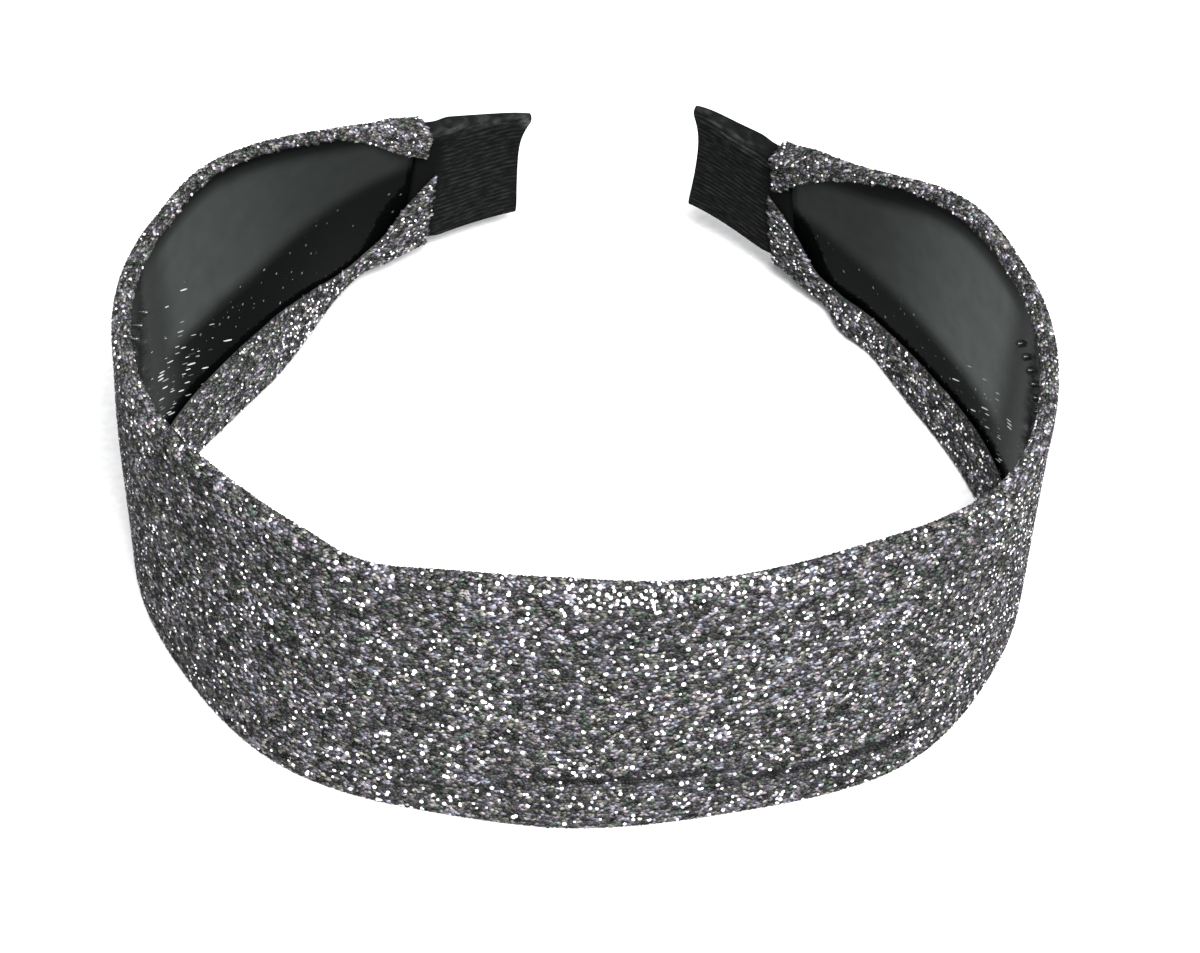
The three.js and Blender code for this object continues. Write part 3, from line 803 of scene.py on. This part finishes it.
WORN = {
    "left": {
        "along": [172, 181, 187.2], "drop": [0.7, 0.5, 0.9], "length": [5, 4, 1.1],
        "breadth": [0.6, 0.35, 0.8], "strength": [0.22, 0.14, 0.9],
    },
    "right": {
        "along": [179, 177, 175], "drop": [0.8, 1.8, 2.7], "length": [4, 4.5, 4],
        "breadth": [0.3, 0.2, 0.2], "strength": [0.35, 0.6, 0.5],
    },
}
MOUTH_SHADE, MOUTH_FADE = 0.25, 2.0
print("each sleeve runs from", RIBBON_MOUTH, "to", TIP, "mm, with ribs", RIB_PITCH, "mm apart")

# %% Ribbon sleeves
SLEEVE_STEP, SLEEVE_FACE, SLEEVE_TURN = 0.7, 200, 12


def sleeve_ring(side, station, half, inset, rib, flare):
    """Rings of a flat loop: two ribbed faces joined by half circles, cut aslant, its top corner drawn out.

    Each point carries its place, and after it how far along and up the band it lies and how worn it is.
    """
    tail = FISHTAILS[side]
    sign = -1 if side == "left" else 1
    low = inset - flare * tail["low_flare"]
    high = top_at(sign * station) - inset + flare**FLARE_POWER * tail["top_flare"]
    turn = np.linspace(0, np.pi, SLEEVE_TURN, endpoint=False)[None] + 0.5 * np.pi / SLEEVE_TURN
    t = np.linspace(0, 1, SLEEVE_FACE)[None]
    face_up = low + half + (high - low - 2 * half) * t
    wander = RIB_WANDER * np.sin(WANDER_ALONG * station + WANDER_UP * face_up)
    ridge = rib * RIB_DEPTH * (np.abs(np.sin(np.pi * (face_up + wander) / RIB_PITCH)) - 1)
    below = high - half - face_up
    creases = zip(*CREASES[side].values())
    crease = sum(rise * bell(below - drop, CREASE_BREADTH) for drop, rise in creases)
    inner = half + ridge + rib * (1 - flare) * crease
    out = np.concatenate([half + ridge, half * np.cos(turn), -inner[:, ::-1], -half * np.cos(turn)], 1)
    over, under = high - half + half * np.sin(turn), low + half - half * np.sin(turn)
    up = np.concatenate([face_up, over, face_up[:, ::-1], under], 1)
    across = np.clip((up - low) / (high - low), 0, 1) * 2 - 1
    slant = tail["slant"] * ((1 - across) / 2) ** SLANT_POWER
    point = tail["point"] * np.maximum(across, 0) ** POINT_POWER
    reach = slant + point - CORNER_ROUND * across**CORNER_POWER - tail["back"]
    along = sign * (station + reach * flare)
    spots = zip(*WORN[side].values())
    worn = sum(s * bell(np.abs(along) - a, n) * bell(high - up - d, b) for a, d, n, b, s in spots)
    return np.concatenate([place(along, out, up), np.stack([along, up, worn], -1)], -1)


def sleeve_rings(side):
    """The pocket from its end to the mouth, then the outside from the mouth to the pressed end."""
    lap_half = CORE_THICK / 2 + GAP + RIBBON
    inside = spaced(RIBBON_MOUTH, POCKET_END, 2 * SLEEVE_STEP)[::-1, None]
    outside = spaced(RIBBON_MOUTH, TIP, SLEEVE_STEP)[:, None]
    pocket_half = lap_half - RIBBON
    pocket_half = pocket_half + (POCKET_TIP_HALF - pocket_half) * step_up(inside, TAPER_START, POCKET_END)
    end_half = lap_half + (RIBBON_END_HALF - lap_half) * step_up(outside, FLARE_START, FLARE_FULL)
    inset = (CLOTH + GAP) * (1 - step_up(outside, COVER_END + GAP, FLARE_START))
    return np.concatenate([
        sleeve_ring(side, inside, pocket_half, CLOTH + GAP + RIBBON, 0.0, 0.0),
        sleeve_ring(side, outside, end_half, inset, 1.0, step_up(outside, FLARE_START, TIP)),
    ])


sleeves = {}
for side in FISHTAILS:
    rings = sleeve_rings(side)
    sleeves[side] = loft("ribbon_sleeve_" + side, rings[..., :3])
    along, up, worn = rings[..., 3:].reshape(-1, 3).T
    clear = step_up(np.abs(along), COVER_END - MOUTH_FADE, COVER_END + MOUTH_FADE)
    note(sleeves[side], "band", np.column_stack([along, up, 0 * up]))
    note(sleeves[side], "worn", worn)
    note(sleeves[side], "mouth", MOUTH_SHADE + (1 - MOUTH_SHADE) * clear)

# %% [markdown]
# ## The finish of the cloth ground
# Between the stitches the eye sees only the dark yarn behind them: spun polyester, dyed charcoal. A plain
# grey would do from afar. A cell pattern as fine as the loops gives it the small unevenness of a knit.

# %% Ground finish
LOOP_SIZE = 0.8 * MM


def ground_material():
    """Polyester jersey, knitted from spun yarn: dark, rough, a little uneven from loop to loop."""
    material = new_material("charcoal_jersey_ground")
    place_on = add_node(material, "ShaderNodeTexCoord").outputs["Object"]
    loops = add_node(material, "ShaderNodeTexVoronoi", {"Vector": place_on, "Scale": 1 / LOOP_SIZE})
    shade = add_node(material, "ShaderNodeValToRGB", {"Fac": loops}, [(0.0, "#2e2f30"), (1.0, "#18191a")])
    surface = add_node(material, "ShaderNodeBsdfPrincipled", {"Base Color": shade, "Roughness": 0.8})
    add_node(material, "ShaderNodeOutputMaterial", {"Surface": surface})
    return material


cover.data.materials.append(ground_material())

# %% [markdown]
# ## The finish of the dull stitches
# Here the film is knitted in but turned away from the eye, so each stitch is its own dull grey, and clouds a
# few stitches wide are lighter or darker. A picture of cloth would stretch over the folds. Three random
# numbers that each bead carries, and one soft noise over them all, give every stitch its tone wherever it
# lies.

# %% Stitch finish
BLOTCH_SIZE = 2.0 * MM
BLOTCH_DRIFT, TINT_STRAY = 0.2, 0.3


def stitch_material():
    """Polyester yarn with slit metal film, knitted: dull greys with a soft sheen, stitch by stitch.

    They carry a breath of green, brown, violet or blue, in blotches of a few stitches, as the film's thin
    coat gives them.
    """
    material = new_material("charcoal_metallic_knit")
    film = add_node(material, "ShaderNodeAttribute", attribute_name="film").outputs["Vector"]
    part = add_node(material, "ShaderNodeSeparateXYZ", {"Vector": film})
    place_on = add_node(material, "ShaderNodeTexCoord").outputs["Object"]
    cloud = add_node(material, "ShaderNodeTexNoise", {
        "Vector": place_on, "Scale": 1 / BLOTCH_SIZE, "Detail": 1.0})
    drift = add_node(material, "ShaderNodeMapRange", {
        "Value": cloud, "From Min": 0.3, "From Max": 0.7, "To Min": -BLOTCH_DRIFT, "To Max": BLOTCH_DRIFT})
    level = add_node(material, "ShaderNodeMath", {0: part.outputs["X"], 1: drift}, operation="ADD")
    grey = add_node(material, "ShaderNodeValToRGB", {"Fac": level}, [
        (0.0, "#0d0e0f"), (0.5, "#434446"), (0.85, "#737477"), (1.0, "#a8a9ac")])
    blend = add_node(material, "ShaderNodeMix", {"Factor": TINT_STRAY, "A": cloud, "B": part.outputs["Y"]})
    tint = add_node(material, "ShaderNodeValToRGB", {"Fac": blend}, [
        (0.3, "#bfe6cd"), (0.45, "#f5ecd4"), (0.55, "#f3e0f0"), (0.7, "#dce4f2")])
    mixed = add_node(material, "ShaderNodeMix", {"Factor": 1.0, "A": grey, "B": tint},
                     data_type="RGBA", blend_type="MULTIPLY")
    surface = add_node(material, "ShaderNodeBsdfPrincipled", {
        "Base Color": mixed.outputs["Result"], "Roughness": 0.5, "Metallic": 0.3})
    add_node(material, "ShaderNodeOutputMaterial", {"Surface": surface})
    return material


stitch_finish = stitch_material()
for piece in stitch_pieces:
    piece.data.materials.append(stitch_finish)

# %% [markdown]
# ## The finish of the glints
# Where a loop of film faces the eye it throws back the lamp. A mirror would flash from one spot of each bead
# only. The film is crimped by the needles, but here its glints are painted: a bright half-matt white shows
# as the round dots that the cloth has, from every side.

# %% Glint finish
def glint_material():
    """Silver slit film, vacuum coated and crimped by knitting: painted white, a painted glint that shows as a
    white dot from every side.
    """
    material = new_material("silver_film_painted_glints")
    film = add_node(material, "ShaderNodeAttribute", attribute_name="film").outputs["Vector"]
    part = add_node(material, "ShaderNodeSeparateXYZ", {"Vector": film})
    # Painted glint: the domes are near white whatever the light, standing in for the lamp's reflection in the
    # film
    white = add_node(material, "ShaderNodeValToRGB", {"Fac": part.outputs["X"]}, [
        (0.0, "#b9b6bc"), (0.35, "#f2eff4"), (1.0, "#ffffff")])
    surface = add_node(material, "ShaderNodeBsdfPrincipled", {"Base Color": white, "Roughness": 0.3})
    add_node(material, "ShaderNodeOutputMaterial", {"Surface": surface})
    return material


glints.data.materials.append(glint_material())

# %% [markdown]
# ## The finish of the plastic
# The strip is black styrene, glossy from the mould. Its colour carries painted reflections: a grey-green
# patch of reflected floor where no hem lies, pale streaks of reflected glitter near the bends, and specks
# of reflected glitter above the lower hem. Painted images could show these. Noise and cell patterns
# measured along the band, held to the places that the strip carries, keep them sharp from near and far.

# %% Plastic finish
REFLECTION_GRAIN, SPECK_SPACING, STREAK_SPACING = 3.5, 1.2, 0.55
SPECK_RADIUS, SPECK_SHARE, SPECK_STRENGTH = 0.2, 0.35, 0.22
STREAK_RADIUS, STREAK_SHARE = 0.26, 1.2
STREAK_STRETCH, STREAK_SLOPE = 9.0, np.radians(-28)


def marks(material, spots, radius, amount):
    """Small marks near the middles of a cell pattern, each of its own size up to a radius, and own strength.

    They are kept in as many of the cells as the amount, 0 to 1, allows.
    """
    pick = add_node(material, "ShaderNodeSeparateColor", {"Color": spots.outputs["Color"]})
    size = add_node(material, "ShaderNodeMath", {0: pick.outputs["Green"], 1: radius}, operation="MULTIPLY")
    near = add_node(material, "ShaderNodeMath", {0: spots, 1: size}, operation="LESS_THAN")
    kept = add_node(material, "ShaderNodeMath", {0: pick.outputs["Red"], 1: amount}, operation="LESS_THAN")
    both = add_node(material, "ShaderNodeMath", {0: near, 1: kept}, operation="MULTIPLY")
    return add_node(material, "ShaderNodeMath", {0: both, 1: pick.outputs["Blue"]}, operation="MULTIPLY")


def plastic_material():
    """Injection-moulded styrene: black and glossy, with a painted floor reflection and painted pale streaks
    and specks of reflected glitter.
    """
    material = new_material("black_moulded_styrene")
    on_band = add_node(material, "ShaderNodeAttribute", attribute_name="band").outputs["Vector"]
    floor_reflection, speck_reflection, streak_reflection = (add_node(material, "ShaderNodeAttribute", attribute_name=name).outputs["Fac"]
                         for name in ("floor_reflection", "speck_reflection", "streak_reflection"))
    grain = add_node(material, "ShaderNodeTexNoise", {
        "Vector": on_band, "Scale": 1 / REFLECTION_GRAIN, "Detail": 5.0})
    uneven = add_node(material, "ShaderNodeMapRange", {
        "Value": grain, "From Min": 0.25, "From Max": 0.75, "To Min": 0.88, "To Max": 1.12})
    # Painted reflection: the black is lifted to grey-green where the floor would be reflected, a little
    # unevenly
    reflection_amount = add_node(material, "ShaderNodeMath", {0: floor_reflection, 1: uneven}, operation="MULTIPLY")
    black = add_node(material, "ShaderNodeValToRGB", {"Fac": reflection_amount}, [(0.0, "#050606"), (1.0, "#535855")])
    dots = add_node(material, "ShaderNodeTexVoronoi", {"Vector": on_band, "Scale": 1 / SPECK_SPACING},
                    voronoi_dimensions="2D")
    # Painted reflection of the lower hem's glitter: a few pale specks
    few = add_node(material, "ShaderNodeMath", {0: speck_reflection, 1: SPECK_SHARE}, operation="MULTIPLY")
    specks = marks(material, dots, SPECK_RADIUS, few)
    faint = add_node(material, "ShaderNodeMath", {0: specks, 1: SPECK_STRENGTH}, operation="MULTIPLY")
    even = add_node(material, "ShaderNodeVectorMath", {0: on_band}, operation="ABSOLUTE")
    slope = add_node(material, "ShaderNodeMapping", {
        "Vector": even, "Rotation": (0, 0, STREAK_SLOPE), "Scale": (STREAK_STRETCH, 1.0, 1.0)},
        vector_type="TEXTURE")
    lines = add_node(material, "ShaderNodeTexVoronoi", {"Vector": slope, "Scale": 1 / STREAK_SPACING},
                     voronoi_dimensions="2D")
    # Painted reflection: slanted pale streaks of glitter reflected round the bends
    most = add_node(material, "ShaderNodeMath", {0: streak_reflection, 1: STREAK_SHARE}, operation="MULTIPLY")
    streaks = marks(material, lines, STREAK_RADIUS, most)
    # Both painted reflections, specks and streaks, take the pale colour #c9cecc
    pale = add_node(material, "ShaderNodeMath", {0: faint, 1: streaks}, operation="MAXIMUM")
    colour = add_node(material, "ShaderNodeMix", {"Factor": pale, "A": black, "B": linear("#c9cecc")},
                      data_type="RGBA")
    surface = add_node(material, "ShaderNodeBsdfPrincipled", {
        "Base Color": colour.outputs["Result"], "Roughness": 0.12, "IOR": 1.5, "Specular IOR Level": 0.07})
    add_node(material, "ShaderNodeOutputMaterial", {"Surface": surface})
    return material


strip.data.materials.append(plastic_material())

# %% [markdown]
# ## The finish of the teeth
# The teeth are the same styrene, moulded with the strip, but hair has rubbed them. One shade of grey would
# make them look painted, so a fine noise moves it from tooth to tooth and round each rim.

# %% Tooth finish
WEAR_GRAIN = 0.4 * MM


def tooth_material():
    """Injection-moulded styrene, rubbed by hair: a shade greyer than the strip, and half-matt."""
    material = new_material("rubbed_styrene_teeth")
    place_on = add_node(material, "ShaderNodeTexCoord").outputs["Object"]
    worn = add_node(material, "ShaderNodeTexNoise", {
        "Vector": place_on, "Scale": 1 / WEAR_GRAIN, "Detail": 1.0})
    shade = add_node(material, "ShaderNodeValToRGB", {"Fac": worn}, [(0.3, "#191b1a"), (0.7, "#2b2e2c")])
    surface = add_node(material, "ShaderNodeBsdfPrincipled", {"Base Color": shade, "Roughness": 0.25})
    add_node(material, "ShaderNodeOutputMaterial", {"Surface": surface})
    return material


teeth.data.materials.append(tooth_material())

# %% [markdown]
# ## The finish of the ribbon
# Grosgrain is woven with thick weft threads, so it shows ribs, and its threads catch light in short dashes.
# It is darkest at its mouth, in the shade of the cover, and greyer where the folds are rubbed. A bump map
# would only shade the ribs. They are real ridges already, so the finish adds the threads' own tone: a wave
# for the ribs, and a noise that is drawn out along the band for the dashes.

# %% Ribbon finish
DASH_LONG, DASH_HIGH, DASH_SHARE = 2.0, 0.5, 0.85
# A wave texture of scale 1 has its ridges this far apart
WAVE_PITCH = np.pi / 10


def ribbon_material():
    """Grosgrain ribbon, woven from polyester: matt black, in short uneven dashes, its folds rubbed grey.

    The dashes are drawn coarser than real threads, which are too fine to show.
    """
    material = new_material("black_grosgrain_ribbon")
    band = add_node(material, "ShaderNodeAttribute", attribute_name="band").outputs["Vector"]
    mouth, worn = (add_node(material, "ShaderNodeAttribute", attribute_name=name).outputs["Fac"]
                   for name in ("mouth", "worn"))
    ribs = add_node(material, "ShaderNodeTexWave", {
        "Vector": band, "Scale": WAVE_PITCH / RIB_PITCH,
        "Distortion": 2.5, "Detail": 3.0, "Detail Scale": 0.5},
        wave_type="BANDS", bands_direction="Y")
    drawn_out = add_node(material, "ShaderNodeMapping", {
        "Vector": band, "Scale": (1 / DASH_LONG, 1 / DASH_HIGH, 1.0)})
    dashes = add_node(material, "ShaderNodeTexNoise", {"Vector": drawn_out, "Scale": 1.0, "Detail": 3.0})
    both = add_node(material, "ShaderNodeMix", {"Factor": DASH_SHARE, "A": ribs.outputs["Fac"], "B": dashes})
    lit = add_node(material, "ShaderNodeMath", {0: both, 1: mouth}, operation="MULTIPLY")
    black = add_node(material, "ShaderNodeValToRGB", {"Fac": lit}, [
        (0.3, "#010202"), (0.5, "#090a0a"), (0.7, "#202222")])
    thread = add_node(material, "ShaderNodeMapRange", {
        "Value": dashes, "From Min": 0.35, "From Max": 0.65, "To Min": 0.1, "To Max": 1.0})
    rubbed = add_node(material, "ShaderNodeMath", {0: worn, 1: thread}, operation="MULTIPLY")
    colour = add_node(material, "ShaderNodeMix", {"Factor": rubbed, "A": black, "B": linear("#565b59")},
                      data_type="RGBA")
    surface = add_node(material, "ShaderNodeBsdfPrincipled", {
        "Base Color": colour.outputs["Result"], "Roughness": 0.9, "Specular IOR Level": 0.15})
    add_node(material, "ShaderNodeOutputMaterial", {"Surface": surface})
    return material


ribbon = ribbon_material()
for sleeve in sleeves.values():
    sleeve.data.materials.append(ribbon)

# %% [markdown]
# ## Join the pieces to the frame
# Nothing on the headband moves by itself, so every piece rides on its one body. Pieces that stand for a solid
# of the frame replace it, and each names the kind of material it is made of. The solids could stay under
# them, but two surfaces in one place would flicker.

# %% Frame
BODY = "root"
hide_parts("glitter_cover")
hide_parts("band_core")
for side, sleeve in sleeves.items():
    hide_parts("tip_wrap_" + side)
all_pieces = (cover, glints, strip, teeth, *stitch_pieces, *sleeves.values())
for piece in all_pieces:
    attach(piece, BODY)
print(len(all_pieces), "pieces ride on", BODY)

# %% [markdown]
# The cover and the ribbons are cut from flat cloth, and the stitches and glints lie on the cover.

# %% Sheets
print("sheets:", cover.name, *(sleeve.name for sleeve in sleeves.values()))

# %% [markdown]
# ## The floor
# A white card lies under the band. A curved backdrop would hide its far edge, but the card is so large that
# its edge stays out of the picture, and a flat one keeps the soft shadows plain.

# %% Floor
FLOOR_HALF = 3.0
# Real fibres are finer, and are drawn this coarse so that their fleck shows
FIBRE_SIZE = 1.5 * MM


def floor_material():
    """Uncoated white card, pressed from pulp: matt, with a faint fleck of its fibres."""
    material = new_material("white_card")
    place_on = add_node(material, "ShaderNodeTexCoord").outputs["Object"]
    fibre = add_node(material, "ShaderNodeTexNoise", {
        "Vector": place_on, "Scale": 1 / FIBRE_SIZE, "Detail": 2.0})
    fleck = add_node(material, "ShaderNodeValToRGB", {"Fac": fibre}, [(0.3, "#eeeeee"), (0.6, "#f6f6f6")])
    surface = add_node(material, "ShaderNodeBsdfPrincipled", {"Base Color": fleck, "Roughness": 0.9})
    add_node(material, "ShaderNodeOutputMaterial", {"Surface": surface})
    return material


corners = np.array([[-1, -1, 0], [1, -1, 0], [1, 1, 0], [-1, 1, 0]]) * FLOOR_HALF
floor = new_piece("floor", corners, np.array([[0, 1, 2, 3]]))
floor.data.materials.append(floor_material())
floor.visible_glossy = False

# %% [markdown]
# ## The lamps
# A large soft lamp hangs near the camera with a second one from the side, and the room is an even grey. A
# picture of a studio could light the band too, but two lamps are easier to follow. They give the soft edge,
# and light the painted white dots that stand for the cloth's glints.

# %% Lights
LAMPS = {
    "key_lamp": {"watts": 15.0, "size": 0.35, "distance": 0.9, "side": -8, "down": 56},
    "side_lamp": {"watts": 12.0, "size": 0.6, "distance": 1.2, "side": -45, "down": 45},
}
LAMP_TARGET = np.array([0, 0, 0.02])
ROOM_COLOUR, ROOM_STRENGTH = "#bfc0c2", 0.7


def soft_lamp(name, watts, size, distance, side, down):
    """A square lamp that looks at the band's middle from a bearing and a dip, as the camera does."""
    lamp = bpy.data.objects.new(name, bpy.data.lights.new(name, "AREA"))
    lamp.data.energy = watts
    lamp.data.size = size
    bpy.context.collection.objects.link(lamp)
    aim(lamp, LAMP_TARGET, distance, np.radians(side), np.radians(down), 0.0)
    print(name, watts, "W, at", [round(x, 2) for x in lamp.location])


for name, settings in LAMPS.items():
    soft_lamp(name, **settings)
world = bpy.data.worlds.new("grey_room")
bpy.context.scene.world = world
world.use_nodes = True
world.node_tree.nodes["Background"].inputs["Color"].default_value = linear(ROOM_COLOUR)
world.node_tree.nodes["Background"].inputs["Strength"].default_value = ROOM_STRENGTH
bpy.context.scene.view_settings.view_transform = "Standard"
